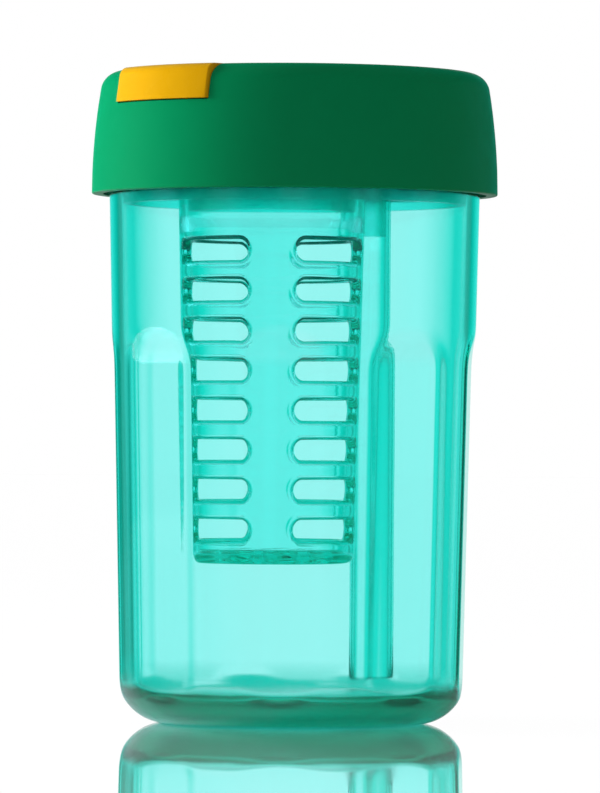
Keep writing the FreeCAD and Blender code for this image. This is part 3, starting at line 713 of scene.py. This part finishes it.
class INFUSER_OT_basket(bpy.types.Operator):
    """Model the infuser basket from one flat slot cell, repeated, bent round and closed by a floor"""
    bl_idname = "infuser.basket"
    bl_label = "Basket"

    def execute(self, context):
        size = sizes("basket")
        low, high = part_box("infuser_basket")
        rim_radius = half_width("infuser_basket")
        mean_radius = (rim_radius + size.foot_radius) / 2
        tall = high.z - low.z
        width = math.tau * mean_radius / size.slot_columns
        basket = self.slot_cell(size, mean_radius, width)
        for name, copies, step in (
            ("rows", size.slot_rows, (0, 0, size.slot_pitch)), ("columns", size.slot_columns, (width, 0, 0)),
        ):
            apply_modifier(basket, name, "ARRAY", count=copies, use_relative_offset=False,
                           use_constant_offset=True, constant_offset_displace=step,
                           use_merge_vertices=True, merge_threshold=MERGE)
        shift(basket, (-width * (size.slot_columns - 1) / 2, 0, size.slot_first - tall / 2))
        apply_modifier(basket, "bend", "SIMPLE_DEFORM", deform_method="BEND", deform_axis="Z",
                       angle=math.tau)
        self.close_tube(basket, size, mean_radius, tall)
        apply_modifier(basket, "taper", "SIMPLE_DEFORM", deform_method="TAPER", deform_axis="Z",
                       factor=(rim_radius - size.foot_radius) / mean_radius * (1 - size.foot_round / tall))
        self.make_floor(basket, size, tall)
        apply_modifier(basket, "wall", "SOLIDIFY", thickness=size.wall, offset=-1, use_even_offset=True)
        self.fit_wall(basket, size, rim_radius, tall)
        self.round_slots(basket, size, tall)
        shift(basket, centre("infuser_basket"))
        finish_piece(basket, clear_plastic("basket_clear"), "basket", "infuser_basket")
        return {"FINISHED"}

    def slot_span(self, size, tall):
        """Heights of the lower and upper end of the rows of slots, from the middle of the basket."""
        low = size.slot_first - size.slot_pitch / 2 - tall / 2
        high = size.slot_first + size.slot_pitch * (size.slot_rows - 0.5) - tall / 2
        return low, high

    def slot_cell(self, size, radius, width):
        """A flat plate of one slot, upright, as wide as its share of the way round."""
        end = size.slot_height / 2
        reach = radius * size.slot_half_angle - end
        corners, straight_parts, upright_parts = 24, 8, 5
        cell = start_ring("basket", corners, end)
        half_step = math.pi / corners
        turn_round("Z", half_step)
        turn_round("X", math.pi / 2)
        for sign in (1, -1):
            pick("verts", lambda middle, _: middle.x * sign > 0)
            move((sign * reach, 0, 0))
        divide_edges(lambda middle, _: abs(middle.x) < MERGE, straight_parts)
        self.widen(reach, size.slot_rim)
        points = corners + 2 * (straight_parts - 1)
        level_parts = points // 2 - upright_parts
        unit = 1
        bpy.ops.mesh.select_all(action="DESELECT")
        bpy.ops.mesh.primitive_plane_add(size=unit, rotation=(math.pi / 2, 0, 0))
        bpy.ops.mesh.delete(type="ONLY_FACE")
        pick("verts", lambda middle, _: abs(abs(middle.x) - unit / 2) < MERGE)
        scale((width, 1, size.slot_pitch))
        border = width / 2 - MERGE
        top = size.slot_pitch / 2 - MERGE
        divide_edges(lambda middle, _: abs(middle.z) > top and abs(middle.x) < MERGE, level_parts)
        divide_edges(lambda middle, _: abs(middle.x) > border and abs(middle.z) < MERGE, upright_parts)
        pick("edges", lambda _, edge: not edge.link_faces)
        move((0, width, 0))
        pick("edges", lambda middle, edge: not edge.link_faces
             or edge.is_boundary and not self.on_slot(middle, reach, end))
        bpy.ops.mesh.bridge_edge_loops(number_cuts=1, interpolation="LINEAR")
        select_mesh()
        scale((1, 0, 1))
        bpy.ops.mesh.normals_make_consistent(inside=False)
        leave_edit()
        return cell

    def fit_wall(self, basket, size, rim_radius, tall):
        """Thicken the floor, and thin the wall above the slots from inside."""
        enter_edit(basket)
        pick("verts", lambda middle, _: abs(middle.z - size.wall + tall / 2) < MERGE)
        move((0, 0, size.floor - size.wall))
        above = self.slot_span(size, tall)[1] + MM
        pick("verts", lambda middle, _: middle.z > above and radius_of(middle) < rim_radius - size.wall / 2)
        thinner = (rim_radius - size.rim_wall) / (rim_radius - size.wall)
        scale((thinner, thinner, 1))
        leave_edit()

    def round_slots(self, basket, size, tall):
        """Round the edges of the slots."""
        enter_edit(basket)
        low, high = self.slot_span(size, tall)
        pick("edges", lambda middle, edge: low < middle.z < high and edge.is_manifold
             and edge.calc_face_angle() > size.edge_turn)
        bpy.ops.mesh.bevel(offset=size.edge_round, segments=size.edge_steps, clamp_overlap=False)
        leave_edit()

    def on_slot(self, middle, reach, end):
        """True on the slot's own edge, within a tenth of its half height."""
        past = max(0, abs(middle.x) - reach)
        return abs(math.hypot(past, middle.z) - end) < end / 10

    def widen(self, reach, factor):
        """A rim of faces round the slot."""
        select_mesh()
        before = len(edit_mesh().verts)
        extrude()
        mesh = edit_mesh()
        mesh.verts.ensure_lookup_table()
        rim = set(mesh.verts[before:])
        for sign in (1, -1):
            pick("verts", lambda middle, vert: vert in rim and middle.x * sign > reach - MERGE)
            scale((factor, 1, factor), (sign * reach, 0, 0))
        pick("verts", lambda middle, vert: vert in rim and abs(middle.x) < reach - MERGE)
        scale((1, 1, factor))

    def close_tube(self, basket, size, radius, tall):
        """Centre the bent sheet, close its seam and draw it up to the rim and down to the foot."""
        enter_edit(basket)
        select_mesh()
        move((0, -radius, 0))
        turn_round("Z", math.pi / size.slot_columns)
        merge_all()
        low, high = self.slot_span(size, tall)
        pick("edges", lambda middle, _: abs(middle.z - high) < MERGE)
        steps = 8
        for _ in range(steps):
            extrude((0, 0, (tall / 2 - high) / steps))
        pick("edges", lambda middle, _: abs(middle.z - low) < MERGE)
        extrude((0, 0, size.foot_round - tall / 2 - low))
        leave_edit()

    def make_floor(self, basket, size, tall):
        """Round the foot inwards and fill the floor round its drain holes."""
        enter_edit(basket)
        start = size.foot_round - tall / 2
        pick("edges", lambda middle, _: abs(middle.z - start) < MERGE)
        radius = radius_of(next(edge for edge in edit_mesh().edges if edge.select).verts[0].co)
        steps, quarter = 6, math.pi / 2
        inner = radius - size.foot_round
        last = radius
        for step in range(1, steps + 1):
            turn = step / steps * quarter
            now = inner + size.foot_round * math.cos(turn)
            drop = size.foot_round * (math.sin(turn) - math.sin(turn - quarter / steps))
            extrude((0, 0, -drop))
            scale((now / last, now / last, 1))
            last = now
        foot = -tall / 2
        bpy.ops.mesh.select_mode(type="VERT")
        bpy.ops.mesh.select_all(action="DESELECT")
        places = [spot(0, foot)]
        places += [spot(size.drain_circle, foot, math.tau * drain / size.drain_count)
                   for drain in range(size.drain_count)]
        corners = 20
        for place in places:
            bpy.ops.mesh.primitive_circle_add(vertices=corners, radius=size.drain_radius, location=place)
        pick("edges", lambda middle, edge: abs(middle.z - foot) < MERGE and len(edge.link_faces) < 2)
        bpy.ops.mesh.fill(use_beauty=True)
        merge_all()
        leave_edit()


class INFUSER_OT_straw(bpy.types.Operator):
    """Model the drinking tube: a ring drawn up, given a wall and soft ends"""
    bl_idname = "infuser.straw"
    bl_label = "Straw"

    def execute(self, context):
        size = sizes("straw")
        low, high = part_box("straw")
        middle = centre("straw")
        straw = start_ring("straw_tube", size.columns, half_width("straw"))
        move((middle.x, middle.y, low.z))
        for _ in range(size.rows):
            extrude((0, 0, (high.z - low.z) / size.rows))
        merge_all()
        leave_edit()
        apply_modifier(straw, "wall", "SOLIDIFY", thickness=size.wall, offset=-1, use_even_offset=True)
        apply_modifier(straw, "ends", "BEVEL", width=size.edge_round, segments=size.edge_steps,
                       limit_method="ANGLE", angle_limit=size.edge_turn)
        finish_piece(straw, clear_plastic("straw_clear"), "lid", "straw")
        return {"FINISHED"}


class INFUSER_OT_cover(bpy.types.Operator):
    """Model the flip cover: a turned plate with a finger lip, trimmed to its channel, with a hinge roll"""
    bl_idname = "infuser.cover"
    bl_label = "Cover"

    def execute(self, context):
        size = sizes("cover")
        low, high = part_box("flip_cover")
        half = half_width("flip_cover")
        hinge = Vector((0, high.y - size.knuckle_radius, high.z - size.hinge_drop))
        cover = self.turn_plate(size, low, high)
        for way, reach in (((1, 0, 0), half), ((-1, 0, 0), half), ((0, 1, 0), hinge.y)):
            select_mesh()
            bpy.ops.mesh.bisect(plane_co=Vector(way) * reach, plane_no=way, use_fill=True, clear_outer=True)
        select_mesh()
        bpy.ops.mesh.remove_doubles(threshold=size.edge_round / 3)
        bpy.ops.mesh.dissolve_limited(angle_limit=size.flat_turn)
        merge_all()
        leave_edit()
        apply_modifier(cover, "edges", "BEVEL", width=size.edge_round, segments=size.edge_steps,
                       limit_method="ANGLE", angle_limit=size.edge_turn)
        roll_length, drill_length = 2 * half, 4 * half
        for operation, radius, length in (
            ("UNION", size.knuckle_radius, roll_length), ("DIFFERENCE", size.eye_radius, drill_length),
        ):
            deselect()
            bpy.ops.mesh.primitive_cylinder_add(vertices=size.hinge_columns, radius=radius, depth=length,
                                                location=hinge, rotation=(0, math.pi / 2, 0))
            rod = bpy.context.object
            apply_modifier(cover, "hinge", "BOOLEAN", operation=operation, object=rod, solver="MANIFOLD")
            remove(rod)
        colours = sizes("finish")
        orange = satin_plastic("cover_orange", colours.cover_colour, colours.cover_roughness,
                               colours.cover_grain)
        finish_piece(cover, orange, "cover", "flip_cover")
        return {"FINISHED"}

    def turn_plate(self, size, low, high):
        """A full disc with a ring below its edge, still in edit mode."""
        front, under = -low.y, high.z - size.plate
        inside = half_width("lid_shell") - size.lip_depth
        corners = [spot(*place) for place in (
            (0, under), (inside, under), (inside, low.z),
            (front, low.z), (front - size.lean, high.z), (0, high.z),
        )]
        lip = corners[3:]
        cover = start_line("cover_flap", corners)
        round_corner(lip[1], fillet_reach(*lip, size.top_round), size.top_steps)
        spin_round(size.columns)
        return cover


class INFUSER_OT_lid(bpy.types.Operator):
    """Finish the green shell of the lid, and its liner and spout"""
    bl_idname = "infuser.lid"
    bl_label = "Lid"

    def execute(self, context):
        colours = sizes("finish")
        green = satin_plastic("lid_green", colours.lid_colour, colours.lid_roughness, colours.lid_grain)
        dress("lid_shell", green)
        liner = frosted_plastic("liner_green", colours.liner_tint, colours.liner_density)
        for node in ("lid_insert", "drink_nozzle"):
            dress(node, liner)
        return {"FINISHED"}


class INFUSER_OT_trim(bpy.types.Operator):
    """Finish the seals, the mouthpiece, the valve and the hinge pin"""
    bl_idname = "infuser.trim"
    bl_label = "Seals and pin"

    def execute(self, context):
        colours = sizes("finish")
        silicone = soft_silicone("silicone", colours.silicone_colour)
        for node in ("lid_gasket", "basket_seal", "nozzle_mouthpiece", "nozzle_seal", "vent_valve"):
            dress(node, silicone)
        dress("cover_hinge_pin", drawn_steel("pin_steel", colours.steel_colour))
        return {"FINISHED"}


class INFUSER_OT_stage(bpy.types.Operator):
    """Set the camera, the floor, the studio round it and the lamps"""
    bl_idname = "infuser.stage"
    bl_label = "Stage"

    def execute(self, context):
        size = sizes("stage")
        self.set_camera(context, size)
        self.lay_floor(size)
        self.set_world(context, size)
        self.hang_lamps(size)
        scene = context.scene
        scene.view_settings.view_transform = "Standard"
        for limit in ("max_bounces", "transmission_bounces", "glossy_bounces"):
            setattr(scene.cycles, limit, size.bounces)
        return {"FINISHED"}

    def from_view(self, size, right, up, near):
        """A point given to the right of the axis, above the ground and towards the camera."""
        across = Vector((math.cos(size.azimuth), math.sin(size.azimuth), 0))
        towards = Vector((math.sin(size.azimuth), -math.cos(size.azimuth), 0))
        return across * right + AXIS * up + towards * near

    def set_camera(self, context, size):
        """A long lens at the height of the bottle, which sees past the far side of the floor."""
        place = self.from_view(size, 0, size.height, size.distance)
        target = self.from_view(size, size.aim_right, size.aim_height, 0)
        bpy.ops.object.camera_add(location=place)
        camera = context.object
        camera.rotation_euler = (target - place).to_track_quat("-Z", "Y").to_euler()
        camera.rotation_euler.rotate_axis("Z", size.roll)
        camera.data.lens = size.lens
        far = 4 * size.floor_radius
        camera.data.clip_end = far
        context.scene.camera = camera

    def lay_floor(self, size):
        """A pale floor that mirrors the bottle at a low angle, with a painted sea-green glow where it is
        seen through the foot.
        """
        deselect()
        bpy.ops.mesh.primitive_circle_add(vertices=96, radius=size.floor_radius, fill_type="NGON")
        floor = bpy.context.object
        floor.name = "floor"
        shader = Shader("floor_gloss")
        rays = shader.add("ShaderNodeLightPath").outputs
        lift = shader.spread(rays["Is Camera Ray"], 0, 1, 0, size.floor_lift)
        shader.set(Base_Color=(0.85, 0.85, 0.85, 1), Roughness=0.9, Specular_IOR_Level=0,
                   Emission_Color=(*WHITE, 1), Emission_Strength=lift)
        mirror = shader.add("ShaderNodeBsdfGlossy", Color=(*WHITE, 1), Roughness=0.02)
        # Painted light: near the bottle the floor glows sea green, but only for rays that came through clear
        # plastic
        glow = shader.add("ShaderNodeEmission", Color=(*SEA, 1))
        facing = shader.add("ShaderNodeLayerWeight", Blend=0.5).outputs["Facing"]
        gloss = shader.spread(facing, *LOW_VIEW, 0, size.floor_mirror)
        reach = shader.operate("ShaderNodeVectorMath", "LENGTH", shader.place)
        near = shader.spread(reach, size.painted_glow_start, size.painted_glow_end, rays["Is Transmission Ray"], 0)
        top = shader.mix(gloss, shader.surface.outputs["BSDF"], mirror.outputs["BSDF"])
        shader.put(shader.output.inputs["Surface"], shader.mix(near, top, glow.outputs["Emission"]))
        coat(floor.data, shader.material)

    def set_world(self, context, size):
        """White for the camera, the studio for mirrors and clear plastic, and an even fill for the rest.

        Light that reaches a dull face by way of mirrors or clear plastic is white instead.
        """
        world = bpy.data.worlds.new("studio")
        world.use_nodes = True
        context.scene.world = world
        tree = Nodes(world.node_tree)
        way = tree.add("ShaderNodeTexCoord").outputs["Generated"]

        def along(axis):
            return tree.operate("ShaderNodeVectorMath", "DOT_PRODUCT", way, axis)

        sideways = tree.calculate("ABSOLUTE", along(self.from_view(size, 1, 0, 0)))
        behind = along(self.from_view(size, 0, 0, -1))
        half_turns = tree.calculate("DIVIDE", tree.calculate("ARCTAN2", sideways, behind), math.pi)
        ramp = tree.add("ShaderNodeValToRGB", Fac=half_turns)
        stops = ramp.color_ramp.elements
        for angle, _ in SURROUND[1:-1]:
            stops.new(angle / 180)
        for stop, (_, colour) in zip(stops, SURROUND):
            stop.color = (*colour, 1)
        walls = ramp.outputs["Color"]
        for colour, start, end in CEILING:
            walls = tree.blend(tree.spread(along(AXIS), start, end), walls, colour)
        rays = tree.add("ShaderNodeLightPath").outputs
        mirrored = tree.calculate("MAXIMUM", rays["Is Glossy Ray"], rays["Is Transmission Ray"])
        scattered = tree.calculate("MINIMUM", rays["Diffuse Depth"], 1)
        studio = tree.blend(mirrored, (size.fill,) * 3, tree.blend(scattered, walls, WHITE))
        tree.put(tree.find("BACKGROUND").inputs["Color"], tree.blend(rays["Is Camera Ray"], studio, WHITE))

    def hang_lamps(self, size):
        """A large soft lamp on the left and a weaker one above."""
        for name, (place, span, power, colour) in LAMPS.items():
            stand = self.from_view(size, *place)
            bpy.ops.object.light_add(type="AREA", location=stand)
            lamp = bpy.context.object
            lamp.name = name
            lamp.data.size = span
            lamp.data.energy = power
            lamp.data.color = colour
            lamp.visible_glossy = False
            lamp.visible_transmission = False
            aim = AXIS * size.lamp_aim - stand
            lamp.rotation_euler = aim.to_track_quat("-Z", "Y").to_euler()


OPERATORS = (
    INFUSER_OT_bottle, INFUSER_OT_basket, INFUSER_OT_straw, INFUSER_OT_cover,
    INFUSER_OT_lid, INFUSER_OT_trim, INFUSER_OT_stage,
)


class INFUSER_PT_panel(bpy.types.Panel):
    """Lists the pieces of the bottle and their sizes"""
    bl_idname = "INFUSER_PT_panel"
    bl_label = "Infuser Bottle"
    bl_space_type = "VIEW_3D"
    bl_region_type = "UI"
    bl_category = "Infuser"

    def draw(self, context):
        for operator in OPERATORS:
            self.layout.operator(operator.bl_idname)
        for name, group in SIZES.items():
            box = self.layout.box()
            box.label(text=name.capitalize())
            for prop in group.__annotations__:
                box.prop(sizes(name), prop)


def register():
    for group in SIZES.values():
        bpy.utils.register_class(group)
    for name, group in SIZES.items():
        setattr(bpy.types.Scene, f"infuser_{name}", bpy.props.PointerProperty(type=group))
    for operator in OPERATORS:
        bpy.utils.register_class(operator)
    bpy.utils.register_class(INFUSER_PT_panel)


def unregister():
    bpy.utils.unregister_class(INFUSER_PT_panel)
    for operator in reversed(OPERATORS):
        bpy.utils.unregister_class(operator)
    for name in SIZES:
        delattr(bpy.types.Scene, f"infuser_{name}")
    for group in SIZES.values():
        bpy.utils.unregister_class(group)


def main():
    register()
    bpy.ops.infuser.bottle()
    bpy.ops.infuser.basket()
    bpy.ops.infuser.straw()
    bpy.ops.infuser.cover()
    bpy.ops.infuser.lid()
    bpy.ops.infuser.trim()
    bpy.ops.infuser.stage()


if __name__ == "__main__":
    main()
